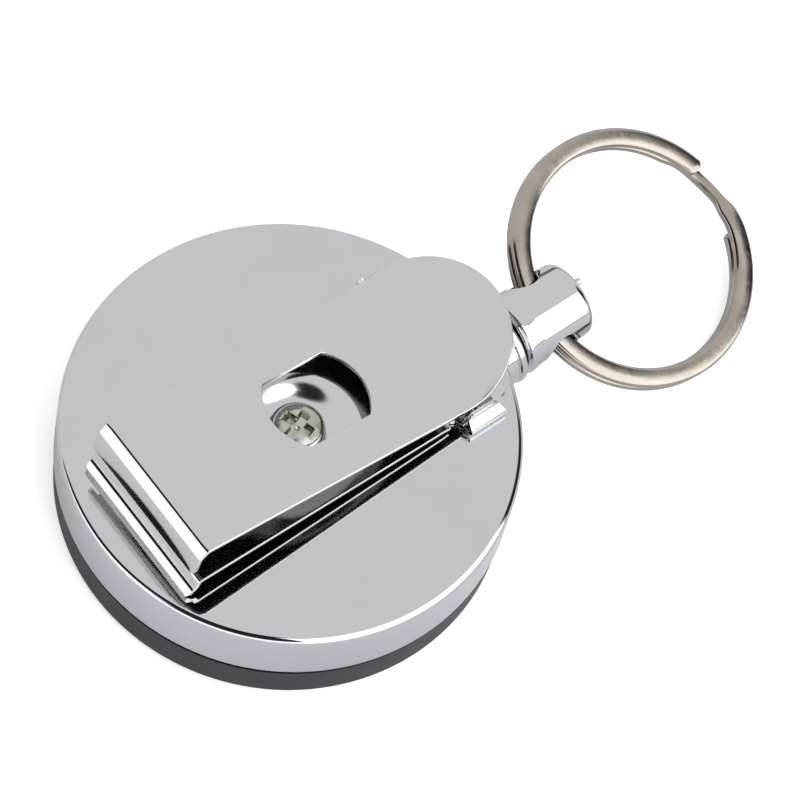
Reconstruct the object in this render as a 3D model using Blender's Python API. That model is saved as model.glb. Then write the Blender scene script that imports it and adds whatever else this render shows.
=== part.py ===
"""Retractable badge reel: a sprung cord drum in a two-shell case, with a ferrule, a split ring and a belt clip.

The reel lies on its front cover. The origin is the centre of that cover's outer face, +Z runs up through
the back cup and the clip, and +X is the way the cord leaves. Numbers are in millimetres, times MM.
"""
import math

import bmesh
import bpy
from mathutils import Matrix, Vector

MM = 0.001

# Case
CASE_R = 20.0
CASE_H = 11.3
SEAM_Z = 5.0
SEAM_GAP = 0.2
CUP_WALL = 0.6
CUP_CORNER = 0.65
COVER_R = 19.8
COVER_WALL = 1.6
COVER_FLOOR = 1.3
COVER_CORNER = 0.9
SPIGOT_R = 19.2
SPIGOT_WALL = 0.9
SPIGOT_H = 1.4
GROOVE_R = 15.0
GROOVE_HALF = 0.35
GROOVE_DEPTH = 0.3

# The drum, the screw and the clip share one centre line, a little off the case's own
MECH_Y = -0.6
POST_R = 2.0
POST_FLANGE_R = 3.6
POST_BORE_R = 1.3
GAP = 0.1
DRUM_R = 11.4
DRUM_WALL = 0.8
FLANGE_R = 16.0
FLANGE_T = 0.7
WEB_Z = 2.5
WEB_T = 0.8
DRUM_TOP = 9.5
WINDING_R = 13.2
WINDING_HALF = 1.35
SPRING_T = 0.18
SPRING_TURNS = 7

# Cord outlet and ferrule, on an axis along +X
OUTLET_Y = -1.7
OUTLET_Z = 6.0
NECK_R = 3.85
NECK_BORE_R = 3.1
NECK_END = 22.5
NECK_FLANGE_R = 4.4
CORD_R = 0.4
FERRULE_START = 22.8
FERRULE_END = 30.3
FERRULE_R = 3.6
FERRULE_ROUND = 0.8
CROSS_HOLE_R = 2.1
CROSS_HOLE_AT = (26.9, -1.6, 6.6)

# Split ring
RING_TILT = 18.7
RING_DROOP = 7.4
RING_IN = 10.25
RING_OUT = 12.03
COIL_T = 0.92
COIL_PITCH = 1.0
RING_CENTRE = (37.6, -1.48, 5.2)
RING_END_A = 18.5
RING_END_B = 345.0

# Clip, heights measured from the back of the case
SHEET = 0.45
LEVER_HALF = 7.5
LIP_HALF = 7.1
LIP_X = -15.9
LEVER_BEND_X = 13.1
PAD_R = 7.5
PAD_SLOPE = 0.28
WINDOW_R = 4.75
WINDOW_HALF = 3.5
WINDOW_X = 1.6
BASE_HALF = 7.3
EAR_OUT = 8.05
EAR_T = 0.4
PIN_X = 13.6
PIN_H = 1.5
PIN_R = 0.4
PIN_HOLE_R = 0.48
LUG_OUT = 7.15
DISH_R = 4.5

# Screw
HEAD_R = 2.4
HEAD_H = 1.2
SHANK_R = 1.2

ROUND = 64
MID = 36
SMALL = 20


def clear_scene():
    for obj in list(bpy.data.objects):
        bpy.data.objects.remove(obj, do_unlink=True)


def material(name, colour, metallic, roughness):
    mat = bpy.data.materials.new(name)
    mat.use_nodes = True
    shader = mat.node_tree.nodes["Principled BSDF"]
    shader.inputs["Base Color"].default_value = (*colour, 1.0)
    shader.inputs["Metallic"].default_value = metallic
    shader.inputs["Roughness"].default_value = roughness
    return mat


def add_object(name, bm, mat=None, smooth_angle=35.0):
    """Turn a bmesh into an object, in metres; without a material it is a cutter."""
    bmesh.ops.scale(bm, vec=(MM, MM, MM), verts=bm.verts)
    bmesh.ops.recalc_face_normals(bm, faces=bm.faces)
    mesh = bpy.data.meshes.new(name)
    bm.to_mesh(mesh)
    bm.free()
    mesh.shade_smooth()
    mesh.set_sharp_from_angle(angle=math.radians(smooth_angle))
    obj = bpy.data.objects.new(name, mesh)
    bpy.context.scene.collection.objects.link(obj)
    if mat is None:
        obj.hide_render = True
        obj.display_type = "WIRE"
    else:
        mesh.materials.append(mat)
    return obj


def combine(target, tool, operation):
    mod = target.modifiers.new(tool.name, "BOOLEAN")
    mod.operation = operation
    mod.object = tool
    mod.solver = "EXACT"


def set_origin(obj, point):
    """Move an object's origin to a point given in millimetres, leaving its shape in place."""
    offset = Vector(point) * MM
    obj.data.transform(Matrix.Translation(-offset))
    obj.location = offset


def arc(centre, radius, start, end, steps):
    """Points on an arc, angles in degrees."""
    points = []
    for i in range(steps + 1):
        angle = math.radians(start + (end - start) * i / steps)
        points.append((centre[0] + radius * math.cos(angle), centre[1] + radius * math.sin(angle)))
    return points


def turned(profile, segments):
    """Solid of revolution about Z from a closed loop of (radius, height); radius 0 makes a pole."""
    bm = bmesh.new()
    columns = []
    poles = {}
    for i in range(segments):
        angle = 2 * math.pi * i / segments
        column = []
        for index, (radius, height) in enumerate(profile):
            if radius == 0:
                if index not in poles:
                    poles[index] = bm.verts.new((0, 0, height))
                column.append(poles[index])
            else:
                column.append(bm.verts.new((radius * math.cos(angle), radius * math.sin(angle), height)))
        columns.append(column)
    count = len(profile)
    for i in range(segments):
        here = columns[i]
        there = columns[(i + 1) % segments]
        for j in range(count):
            k = (j + 1) % count
            corners = []
            for vert in (here[j], there[j], there[k], here[k]):
                if vert not in corners:
                    corners.append(vert)
            if len(corners) > 2:
                bm.faces.new(corners)
    return bm


def move(bm, offset):
    bmesh.ops.translate(bm, vec=offset, verts=bm.verts)
    return bm


def along_x(bm, y=0.0, z=0.0):
    """Lay a solid turned about Z along +X, through a given Y and Z."""
    turn = Matrix.Rotation(math.pi / 2, 3, "Y")
    bmesh.ops.rotate(bm, cent=(0, 0, 0), matrix=turn, verts=bm.verts)
    return move(bm, (0, y, z))


def along_y(bm, x, z):
    """Lay a solid turned about Z along +Y, through a given X and Z."""
    turn = Matrix.Rotation(-math.pi / 2, 3, "X")
    bmesh.ops.rotate(bm, cent=(0, 0, 0), matrix=turn, verts=bm.verts)
    return move(bm, (x, 0, z))


def rod(radius, low, high, segments):
    return turned([(0, low), (radius, low), (radius, high), (0, high)], segments)


def plate(outline, low, high, axis="Z"):
    """Prism on a closed outline: (x, y) extruded in Z, or (x, z) extruded in Y."""
    bm = bmesh.new()
    if axis == "Z":
        verts = [bm.verts.new((a, b, low)) for a, b in outline]
        step = (0, 0, high - low)
    else:
        verts = [bm.verts.new((a, low, b)) for a, b in outline]
        step = (0, high - low, 0)
    face = bm.faces.new(verts)
    grown = bmesh.ops.extrude_face_region(bm, geom=[face])
    moved = [item for item in grown["geom"] if isinstance(item, bmesh.types.BMVert)]
    bmesh.ops.translate(bm, vec=step, verts=moved)
    return bm


def rounded_path(corners, steps=6):
    """Polyline through (x, z, radius) corners with each inner corner rounded to its radius."""
    path = [Vector(corners[0][:2])]
    for before, corner, after in zip(corners, corners[1:], corners[2:]):
        point = Vector(corner[:2])
        back = (Vector(before[:2]) - point).normalized()
        ahead = (Vector(after[:2]) - point).normalized()
        half = back.angle(ahead) / 2
        reach = corner[2] / math.tan(half)
        centre = point + (back + ahead).normalized() * corner[2] / math.sin(half)
        first = point + back * reach - centre
        last = point + ahead * reach - centre
        swing = first.angle_signed(last)
        for i in range(steps + 1):
            turn = Matrix.Rotation(-swing * i / steps, 2)
            path.append(centre + turn @ first)
    path.append(Vector(corners[-1][:2]))
    return path


def sheet_strip(path, half_width, thickness, y_centre):
    """Bent sheet: path is the upper face in (x, z), and half_width(x) its half width there."""
    bm = bmesh.new()
    rows = []
    for i, point in enumerate(path):
        before = path[max(i - 1, 0)]
        after = path[min(i + 1, len(path) - 1)]
        ahead = (after - before).normalized()
        down = Vector((ahead.y, -ahead.x)) * thickness
        under = point + down
        half = half_width(point.x)
        row = [bm.verts.new((point.x, y_centre + half, point.y)),
               bm.verts.new((point.x, y_centre - half, point.y)),
               bm.verts.new((under.x, y_centre - half, under.y)),
               bm.verts.new((under.x, y_centre + half, under.y))]
        rows.append(row)
    for first, second in zip(rows, rows[1:]):
        for j in range(4):
            k = (j + 1) % 4
            bm.faces.new((first[j], first[k], second[k], second[j]))
    bm.faces.new(rows[0])
    bm.faces.new(reversed(rows[-1]))
    return bm


def tube_curve(name, points, radius, mat):
    """A round cord along a list of points, as a curve with filled caps."""
    curve = bpy.data.curves.new(name, "CURVE")
    curve.dimensions = "3D"
    curve.bevel_depth = radius * MM
    curve.bevel_resolution = 2
    curve.use_fill_caps = True
    spline = curve.splines.new("POLY")
    spline.points.add(len(points) - 1)
    for spot, point in zip(spline.points, points):
        spot.co = (*(Vector(point) * MM), 1.0)
    curve.materials.append(mat)
    obj = bpy.data.objects.new(name, curve)
    bpy.context.scene.collection.objects.link(obj)
    return obj


def smooth_route(points, steps):
    """Catmull-Rom points through a short list of points."""
    vectors = [Vector(p) for p in points]
    padded = [vectors[0] * 2 - vectors[1]] + vectors + [vectors[-1] * 2 - vectors[-2]]
    route = []
    for a, b, c, d in zip(padded, padded[1:], padded[2:], padded[3:]):
        for i in range(steps):
            t = i / steps
            route.append(0.5 * (2 * b + (c - a) * t + (2 * a - 5 * b + 4 * c - d) * t * t
                                + (3 * b - a - 3 * c + d) * t ** 3))
    route.append(vectors[-1])
    return route


def outlet_cutter(radius):
    """A rod through the case wall on the outlet's axis."""
    return add_object("outlet_cut", along_x(rod(radius, 14.5, 24.0, MID), OUTLET_Y, OUTLET_Z))


# Case and fixed pieces

def make_front_cover():
    """Moulded front cover: a shallow cup with a spigot that locates the back cup."""
    spigot_in = SPIGOT_R - SPIGOT_WALL
    lip_z = SEAM_Z - SEAM_GAP / 2
    inner_r = COVER_R - COVER_WALL
    profile = [(0, 0), (GROOVE_R - GROOVE_HALF, 0), (GROOVE_R, GROOVE_DEPTH), (GROOVE_R + GROOVE_HALF, 0)]
    profile += arc((COVER_R - COVER_CORNER, COVER_CORNER), COVER_CORNER, -90, 0, 5)
    profile += [(COVER_R, lip_z), (SPIGOT_R, lip_z), (SPIGOT_R, SEAM_Z + SPIGOT_H)]
    profile += [(spigot_in, SEAM_Z + SPIGOT_H), (spigot_in, SEAM_Z - 1.0), (inner_r, SEAM_Z - 1.6)]
    profile += [(inner_r, COVER_FLOOR), (0, COVER_FLOOR)]
    plastic = material("cover_plastic", (0.045, 0.047, 0.05), 0.0, 0.38)
    cover = add_object("front_cover", turned(profile, ROUND), plastic)
    combine(cover, outlet_cutter(NECK_R + GAP), "DIFFERENCE")


def make_back_cup():
    """Drawn steel back cup with a plain hole for the clip screw."""
    skirt_z = SEAM_Z + SEAM_GAP / 2
    inner_r = CASE_R - CUP_WALL
    inner_corner = 0.3
    profile = [(0, CASE_H)]
    profile += arc((CASE_R - CUP_CORNER, CASE_H - CUP_CORNER), CUP_CORNER, 90, 0, 6)
    profile += [(CASE_R, skirt_z), (inner_r, skirt_z)]
    inner_top = CASE_H - CUP_WALL
    profile += arc((inner_r - inner_corner, inner_top - inner_corner), inner_corner, 0, 90, 3)
    profile += [(0, inner_top)]
    chrome = material("cup_chrome", (0.78, 0.79, 0.80), 1.0, 0.12)
    cup = add_object("back_cup", turned(profile, ROUND), chrome)
    combine(cup, outlet_cutter(NECK_R + GAP), "DIFFERENCE")
    hole = move(rod(1.45, CASE_H - 2, CASE_H + 1, SMALL), (0, MECH_Y, 0))
    combine(cup, add_object("screw_cut", hole), "DIFFERENCE")


def make_centre_post():
    """Slotted steel post that carries the drum and takes the clip screw."""
    foot = COVER_FLOOR + 0.1
    top = CASE_H - CUP_WALL - GAP
    profile = [(0, foot), (POST_FLANGE_R, foot), (POST_FLANGE_R, foot + 0.5), (POST_R, foot + 0.5)]
    profile += [(POST_R, top), (POST_BORE_R, top), (POST_BORE_R, 5.2), (0, 4.6)]
    steel = material("post_steel", (0.55, 0.55, 0.54), 1.0, 0.32)
    post = add_object("centre_post", move(turned(profile, SMALL), (0, MECH_Y, 0)), steel)
    slot = plate([(-3, -0.3), (0.9, -0.3), (0.9, 0.3), (-3, 0.3)], 3.6, 4.5)
    combine(post, add_object("slot_cut", move(slot, (0, MECH_Y, 0))), "DIFFERENCE")


def make_outlet_neck():
    """Chromed nozzle held in the side wall by an inner flange, with a bead at its free end."""
    bead = NECK_R + 0.12
    profile = [(NECK_BORE_R, 16.3), (NECK_FLANGE_R, 16.3), (NECK_FLANGE_R, 16.9), (NECK_R, 16.9)]
    profile += [(NECK_R, NECK_END - 0.9)]
    profile += [(bead, NECK_END - 0.7), (bead, NECK_END - 0.3), (NECK_R - 0.1, NECK_END)]
    profile += [(NECK_BORE_R, NECK_END)]
    chrome = material("neck_chrome", (0.78, 0.79, 0.80), 1.0, 0.12)
    add_object("outlet_neck", along_x(turned(profile, MID), OUTLET_Y, OUTLET_Z), chrome)


def make_outlet_bushing():
    """Black guide bushing pressed in the nozzle, bell-mouthed towards the drum."""
    outer = NECK_BORE_R - GAP
    bore = 0.75
    profile = [(outer, 16.4), (outer, NECK_END - 0.4), (bore + 0.5, NECK_END - 0.4), (bore, NECK_END - 0.9)]
    profile += [(bore, 18.6)]
    profile += arc((bore + 1.6, 18.6), 1.6, 180, 100, 5)[1:]
    profile[-1] = (2.2, 16.4)
    nylon = material("bushing_nylon", (0.03, 0.03, 0.032), 0.0, 0.45)
    add_object("outlet_bushing", along_x(turned(profile, SMALL), OUTLET_Y, OUTLET_Z), nylon)


# Drum and springs

def make_spool():
    """Moulded drum: a web on the post, a spring chamber inside and a cord groove outside."""
    low = OUTLET_Z - WINDING_HALF - 0.1
    high = OUTLET_Z + WINDING_HALF + 0.1
    chamber_r = DRUM_R - DRUM_WALL
    web_top = WEB_Z + WEB_T
    bore = POST_R + GAP
    profile = [(bore, WEB_Z), (DRUM_R, WEB_Z), (DRUM_R, low - FLANGE_T), (FLANGE_R, low - FLANGE_T)]
    profile += [(FLANGE_R, low), (DRUM_R, low), (DRUM_R, high), (FLANGE_R, high)]
    profile += [(FLANGE_R, high + FLANGE_T), (DRUM_R, high + FLANGE_T), (DRUM_R, DRUM_TOP)]
    profile += [(chamber_r, DRUM_TOP), (chamber_r, web_top), (bore, web_top)]
    plastic = material("spool_plastic", (0.72, 0.72, 0.70), 0.0, 0.5)
    spool = add_object("spool", move(turned(profile, MID), (0, MECH_Y, 0)), plastic)
    set_origin(spool, (0, MECH_Y, WEB_Z))


def make_power_spring():
    """Flat spiral spring, its inner end bent into the post's slot."""
    inner = POST_R + 0.35
    outer = DRUM_R - DRUM_WALL - 0.35
    low = 3.7
    high = 8.6
    steps = SPRING_TURNS * 16
    bm = bmesh.new()
    rows = []
    spots = [(Vector((-0.6, 0)), Vector((0, 1))), (Vector((-POST_R, 0)), Vector((0, 1)))]
    for i in range(1, steps + 1):
        share = i / steps
        angle = math.pi + 2 * math.pi * SPRING_TURNS * share
        way = Vector((math.cos(angle), math.sin(angle)))
        spots.append((way * (inner + (outer - inner) * share), -way))
    for spot, side in spots:
        bottom = low if len(rows) > 1 else 3.75
        top = high if len(rows) > 1 else 4.35
        near = spot + side * SPRING_T / 2
        far = spot - side * SPRING_T / 2
        corners = [(near.x, near.y, bottom), (near.x, near.y, top), (far.x, far.y, top), (far.x, far.y, bottom)]
        rows.append([bm.verts.new(corner) for corner in corners])
    for first, second in zip(rows, rows[1:]):
        for j in range(4):
            k = (j + 1) % 4
            bm.faces.new((first[j], first[k], second[k], second[j]))
    bm.faces.new(rows[0])
    bm.faces.new(reversed(rows[-1]))
    steel = material("spring_steel", (0.30, 0.31, 0.34), 1.0, 0.3)
    add_object("power_spring", move(bm, (0, MECH_Y, 0)), steel)


def make_drum_rings():
    """The disc that shuts the spring chamber, and the washers above and below the drum."""
    chamber_r = DRUM_R - DRUM_WALL
    lid_r = chamber_r - GAP
    tin = material("lid_steel", (0.6, 0.6, 0.6), 1.0, 0.35)
    nylon = material("washer_nylon", (0.8, 0.79, 0.74), 0.0, 0.5)
    bands = {"spring_cover": (POST_R + 0.3, lid_r, 8.9, 9.3, MID, tin),
             "lower_washer": (POST_R + GAP, 4.6, 2.05, 2.35, SMALL, nylon),
             "upper_washer": (POST_R + GAP, 4.6, 9.7, 10.2, SMALL, nylon)}
    for name, (inner, outer, low, high, segments, mat) in bands.items():
        profile = [(inner, low), (outer, low), (outer, high), (inner, high)]
        ring = add_object(name, move(turned(profile, segments), (0, MECH_Y, 0)), mat)
        set_origin(ring, (0, MECH_Y, low))


# Cord, ferrule and ring

def make_cord():
    """The wound cord as one ring, the run to the nozzle, and the end held in the ferrule."""
    cord = material("cord_nylon", (0.05, 0.05, 0.055), 0.0, 0.55)
    crown = 0.5
    low = OUTLET_Z - WINDING_HALF
    high = OUTLET_Z + WINDING_HALF
    profile = [(DRUM_R + 0.05, low), (WINDING_R - crown, low)]
    profile += [(WINDING_R, low + crown), (WINDING_R, high - crown), (WINDING_R - crown, high)]
    profile += [(DRUM_R + 0.05, high)]
    winding = add_object("cord_winding", move(turned(profile, MID), (0, MECH_Y, 0)), cord)
    set_origin(winding, (0, MECH_Y, OUTLET_Z))
    leave = math.radians(-40)
    start = WINDING_R + CORD_R + 0.1
    first = (start * math.cos(leave), MECH_Y + start * math.sin(leave), OUTLET_Z)
    route = [first, (13.2, -5.9, OUTLET_Z), (15.8, -3.0, OUTLET_Z), (17.4, -1.95, OUTLET_Z),
             (19.0, OUTLET_Y, OUTLET_Z), (22.2, OUTLET_Y, OUTLET_Z)]
    tube_curve("cord_lead", smooth_route(route, 4), CORD_R, cord)
    tube_curve("cord_end", [(22.5, OUTLET_Y, OUTLET_Z), (24.0, OUTLET_Y, OUTLET_Z)], CORD_R, cord)
    crimp = [(0, 24.1), (1.1, 24.1), (1.1, 24.6), (0.8, 24.9), (0, 24.9)]
    brass = material("crimp_brass", (0.75, 0.58, 0.28), 1.0, 0.35)
    add_object("cord_crimp", along_x(turned(crimp, SMALL), OUTLET_Y, OUTLET_Z), brass)


def hole_direction():
    tilt = math.radians(RING_TILT)
    return Vector((0, math.cos(tilt), math.sin(tilt)))


def make_ferrule():
    """Chromed bell on the cord's end, cross-drilled for the ring."""
    end = FERRULE_END
    profile = [(0.6, FERRULE_START), (3.2, FERRULE_START), (3.75, FERRULE_START + 0.3)]
    profile += [(3.8, FERRULE_START + 0.7), (3.66, FERRULE_START + 1.2), (FERRULE_R, FERRULE_START + 1.8)]
    profile += arc((FERRULE_R - FERRULE_ROUND, end - FERRULE_ROUND), FERRULE_ROUND, 0, 90, 5)
    profile += [(0, end), (0, end - 0.8), (2.4, end - 0.8), (2.4, 24.0), (0.6, 24.0)]
    chrome = material("ferrule_chrome", (0.78, 0.79, 0.80), 1.0, 0.12)
    ferrule = add_object("ferrule", along_x(turned(profile, MID), OUTLET_Y, OUTLET_Z), chrome)
    hole = rod(CROSS_HOLE_R, -6, 6, SMALL)
    turn = hole_direction().to_track_quat("Z", "Y").to_matrix()
    bmesh.ops.rotate(hole, cent=(0, 0, 0), matrix=turn, verts=hole.verts)
    combine(ferrule, add_object("cross_cut", move(hole, CROSS_HOLE_AT)), "DIFFERENCE")
    nub = along_x(rod(0.28, end - 0.3, end + 0.5, 12), OUTLET_Y + 0.1, OUTLET_Z + 2.15)
    combine(ferrule, add_object("ferrule_nub", nub), "UNION")
    set_origin(ferrule, (FERRULE_START, OUTLET_Y, OUTLET_Z))


def make_split_ring():
    """Flat wire wound twice round: upper turn, a step down across the gap, lower turn."""
    tilt = Matrix.Rotation(math.radians(RING_TILT), 3, "X")
    droop = Matrix.Rotation(math.radians(RING_DROOP), 3, "Y")
    frame = tilt @ droop
    sweep = 360 + RING_END_B - RING_END_A
    steps = 84
    half_w = (RING_OUT - RING_IN) / 2
    half_t = COIL_T / 2
    chamfer = 0.2
    section = [(half_w - chamfer, half_t), (half_w, half_t - chamfer), (half_w, chamfer - half_t),
               (half_w - chamfer, -half_t), (chamfer - half_w, -half_t), (-half_w, chamfer - half_t),
               (-half_w, half_t - chamfer), (chamfer - half_w, half_t)]
    middle = (RING_OUT + RING_IN) / 2
    bm = bmesh.new()
    rows = []
    for i in range(steps + 1):
        angle = RING_END_A + sweep * i / steps
        share = min(max((angle - RING_END_B) / (360 + RING_END_A - RING_END_B), 0), 1)
        share = share * share * (3 - 2 * share)
        layer = COIL_PITCH * (0.5 - share)
        way = Vector((math.cos(math.radians(angle)), math.sin(math.radians(angle)), 0))
        row = []
        for out, up in section:
            point = way * (middle + out) + Vector((0, 0, layer + up))
            row.append(bm.verts.new(frame @ point + Vector(RING_CENTRE)))
        rows.append(row)
    count = len(section)
    for first, second in zip(rows, rows[1:]):
        for j in range(count):
            k = (j + 1) % count
            bm.faces.new((first[j], first[k], second[k], second[j]))
    bm.faces.new(rows[0])
    bm.faces.new(reversed(rows[-1]))
    nickel = material("ring_nickel", (0.72, 0.68, 0.63), 1.0, 0.2)
    ring = add_object("split_ring", bm, nickel)
    set_origin(ring, CROSS_HOLE_AT)


# Clip

def base_width(x):
    if x > 11.6:
        return EAR_OUT
    return BASE_HALF


def make_clip_base():
    """Lower leaf: lip, raised leaf with a dished screw seat, a step down and a foot with two ears."""
    back = CASE_H
    corners = [(-16.7, back + 0.45, 0), (-15.6, back + 2.25, 0.6), (10.5, back + 0.95, 0.5)]
    corners += [(11.8, back + 0.1 + SHEET, 0.5), (17.6, back + 0.1 + SHEET, 0)]
    chrome = material("clip_base_chrome", (0.78, 0.79, 0.80), 1.0, 0.14)
    path = rounded_path(corners)
    base = add_object("clip_base", sheet_strip(path, base_width, SHEET, MECH_Y), chrome)
    opening = move(rod(DISH_R - 0.3, back - 0.5, back + 4, MID), (0, MECH_Y, 0))
    combine(base, add_object("dish_cut", opening), "DIFFERENCE")
    floor = back + 0.1
    top = back + 1.5
    dish = [(1.5, floor), (3.0, floor), (DISH_R, top - SHEET), (DISH_R, top), (DISH_R - 0.4, top)]
    dish += [(2.9, floor + SHEET), (1.5, floor + SHEET)]
    combine(base, add_object("dish", move(turned(dish, MID), (0, MECH_Y, 0))), "UNION")
    for side, name in ((1, "left"), (-1, "right")):
        low = MECH_Y + side * (EAR_OUT - EAR_T / 2) - EAR_T / 2
        outline = [(12.2, back + 0.3), (16.5, back + 0.3), (15.4, back + 2.1), (15.0, back + 2.4)]
        outline += [(12.7, back + 2.4), (12.35, back + 2.1)]
        ear = add_object("ear_" + name, plate(outline, low, low + EAR_T, "Y"))
        combine(base, ear, "UNION")
    bore = move(along_y(rod(PIN_HOLE_R, -10, 10, SMALL), PIN_X, back + PIN_H), (0, MECH_Y, 0))
    combine(base, add_object("base_pin_cut", bore), "DIFFERENCE")


def lever_width(x):
    reach = x - LEVER_BEND_X - 0.4
    if reach <= 0:
        return LEVER_HALF + (LIP_HALF - LEVER_HALF) * min(1, reach / (LIP_X - LEVER_BEND_X - 0.4))
    return math.sqrt(max(PAD_R ** 2 - reach ** 2, 0.3))


def make_clip_lever():
    """Upper leaf: lip, flat arm with a window over the screw, and a round thumb pad bent up."""
    back = CASE_H
    ridge = (LIP_X, back + 7.5, 1.1)
    bend = (LEVER_BEND_X, back + 2.85, 3.0)
    pad_x = LEVER_BEND_X + 0.4 + PAD_R
    corners = [(-16.5, back + 4.4, 0), ridge, bend, (pad_x, bend[1] + PAD_SLOPE * (pad_x - LEVER_BEND_X), 0)]
    path = rounded_path(corners)
    last = path.pop()
    start = path[-1]
    rows = 14
    for i in range(1, rows + 1):
        share = math.sin(math.pi / 2 * i / rows)
        path.append(start.lerp(last, share))
    chrome = material("clip_lever_chrome", (0.80, 0.81, 0.82), 1.0, 0.14)
    lever = add_object("clip_lever", sheet_strip(path, lever_width, SHEET, MECH_Y), chrome)
    reach = math.degrees(math.asin(WINDOW_HALF / WINDOW_R))
    outline = arc((WINDOW_X, MECH_Y), WINDOW_R, -reach, reach, 10)
    outline += arc((WINDOW_X, MECH_Y), WINDOW_R, 180 - reach, 180 + reach, 10)
    combine(lever, add_object("window_cut", plate(outline, back + 2, back + 8)), "DIFFERENCE")
    pin_z = back + PIN_H
    for side, name in ((1, "left"), (-1, "right")):
        low = MECH_Y + side * (LUG_OUT - EAR_T / 2) - EAR_T / 2
        outline = [(PIN_X + 1.2, back + 2.75), (PIN_X - 1.2, back + 2.7)]
        outline += arc((PIN_X, pin_z), 0.85, 190, 350, 8)
        lug = add_object("lug_" + name, plate(outline, low, low + EAR_T, "Y"))
        combine(lever, lug, "UNION")
    bore = move(along_y(rod(PIN_HOLE_R, -10, 10, SMALL), PIN_X, pin_z), (0, MECH_Y, 0))
    combine(lever, add_object("lever_pin_cut", bore), "DIFFERENCE")
    set_origin(lever, (PIN_X, MECH_Y, pin_z))


def make_clip_pin():
    """Hinge pin through both pairs of ears, its ends domed just past their outer faces."""
    reach = EAR_OUT
    profile = [(0, -reach - 0.12), (PIN_R - 0.15, -reach - 0.08), (PIN_R, -reach), (PIN_R, reach)]
    profile += [(PIN_R - 0.15, reach + 0.08), (0, reach + 0.12)]
    steel = material("pin_steel", (0.7, 0.7, 0.7), 1.0, 0.25)
    bm = move(along_y(turned(profile, SMALL), PIN_X, CASE_H + PIN_H), (0, MECH_Y, 0))
    add_object("clip_pin", bm, steel)


def make_clip_spring():
    """Flat U spring round the pin: one leg on the foot, the other under the thumb pad."""
    back = CASE_H
    strip = 0.2
    bend_x = 12.3
    corners = [(18.6, back + 3.75, 0), (14.6, back + 2.28, 1.0), (bend_x, back + 2.28, 0.75)]
    corners += [(bend_x, back + 0.62, 0.75), (18.2, back + 0.62, 0)]
    path = rounded_path(corners)
    steel = material("clip_spring_steel", (0.35, 0.35, 0.37), 1.0, 0.3)
    add_object("clip_spring", sheet_strip(path, lambda x: 2.5, -strip, MECH_Y), steel)


def make_clip_screw():
    """Pan-head screw with a cross recess, through the clip and the cup into the post."""
    seat = CASE_H + 0.1 + SHEET + 0.05
    top = seat + HEAD_H
    profile = [(0, 6.2), (SHANK_R - 0.3, 6.2), (SHANK_R, 6.6), (SHANK_R, seat), (HEAD_R, seat)]
    profile += [(HEAD_R, seat + 0.55), (HEAD_R - 0.25, seat + 0.95), (HEAD_R - 0.8, seat + 1.22)]
    profile += [(HEAD_R - 1.5, top), (0, top)]
    zinc = material("screw_zinc", (0.66, 0.67, 0.62), 1.0, 0.28)
    screw = add_object("clip_screw", move(turned(profile, MID), (0, MECH_Y, 0)), zinc)
    arm = 1.35
    half = 0.3
    cross = [(arm, -half), (arm, half), (half, half), (half, arm), (-half, arm), (-half, half)]
    cross += [(-arm, half), (-arm, -half), (-half, -half), (-half, -arm), (half, -arm), (half, -half)]
    recess = plate(cross, top - 0.8, top + 1)
    turn = Matrix.Rotation(math.radians(20), 3, "Z")
    bmesh.ops.rotate(recess, cent=(0, 0, 0), matrix=turn, verts=recess.verts)
    combine(screw, add_object("recess_cut", move(recess, (0, MECH_Y, 0))), "DIFFERENCE")


def main():
    clear_scene()
    make_front_cover()
    make_back_cup()
    make_centre_post()
    make_outlet_neck()
    make_outlet_bushing()
    make_spool()
    make_power_spring()
    make_drum_rings()
    make_cord()
    make_ferrule()
    make_split_ring()
    make_clip_base()
    make_clip_lever()
    make_clip_pin()
    make_clip_spring()
    make_clip_screw()


main()
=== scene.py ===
"""Looks for the retractable badge reel: outer pieces, materials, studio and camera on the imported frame."""

import bisect
import math

import bmesh
import bpy
from mathutils import Matrix, Vector


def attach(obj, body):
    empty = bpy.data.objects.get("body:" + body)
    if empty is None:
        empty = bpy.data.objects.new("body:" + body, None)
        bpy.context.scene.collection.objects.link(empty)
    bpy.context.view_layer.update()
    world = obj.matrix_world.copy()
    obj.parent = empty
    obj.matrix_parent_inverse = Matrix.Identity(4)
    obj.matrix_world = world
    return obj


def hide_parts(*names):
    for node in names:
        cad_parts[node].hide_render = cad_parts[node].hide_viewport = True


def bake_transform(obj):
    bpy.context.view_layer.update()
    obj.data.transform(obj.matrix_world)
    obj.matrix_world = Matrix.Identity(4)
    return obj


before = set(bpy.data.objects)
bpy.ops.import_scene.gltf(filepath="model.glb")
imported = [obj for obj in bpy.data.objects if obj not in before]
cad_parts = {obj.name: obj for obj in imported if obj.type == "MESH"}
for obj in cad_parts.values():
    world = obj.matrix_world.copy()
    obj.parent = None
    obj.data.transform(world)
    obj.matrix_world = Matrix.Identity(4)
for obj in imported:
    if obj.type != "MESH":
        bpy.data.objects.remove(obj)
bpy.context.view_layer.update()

MM = 0.001

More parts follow.
